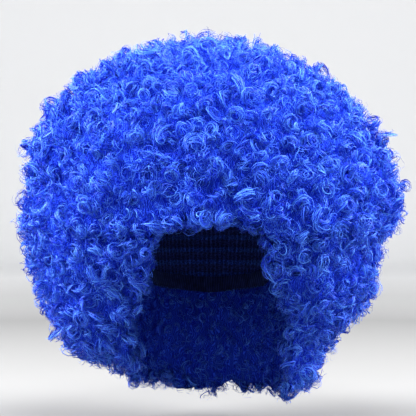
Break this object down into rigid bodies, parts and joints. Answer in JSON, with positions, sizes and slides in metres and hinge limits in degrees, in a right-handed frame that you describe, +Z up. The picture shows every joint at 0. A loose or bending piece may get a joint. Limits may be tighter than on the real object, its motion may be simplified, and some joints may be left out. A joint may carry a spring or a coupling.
{
  "type": "afro wig",
  "caption": "Round afro wig: a ball of tightly curled blue synthetic hair on an open stretch cap with an elastic edge, worn on the head.",
  "frame": {"origin": "inside top of the cap, where the wig sits on the top of the head", "axes": "+Z up, the wearer faces -Y, +X is the wearer's left and the widest way across"},
  "size_m": [0.3177, 0.3123, 0.304],
  "materials": {
    "hair": "shiny curled synthetic fibre",
    "cap_cloth": "matt stretch cloth",
    "elastic": "matt ribbed elastic"
  },
  "bodies": {
    "root": {"cap": "cap_cloth", "elastic_band": "elastic", "hair_crown": "hair", "hair_fringe": "hair", "hair_side_left": "hair", "hair_side_right": "hair", "hair_back": "hair", "hair_nape": "hair"}
  },
  "joints": []
}
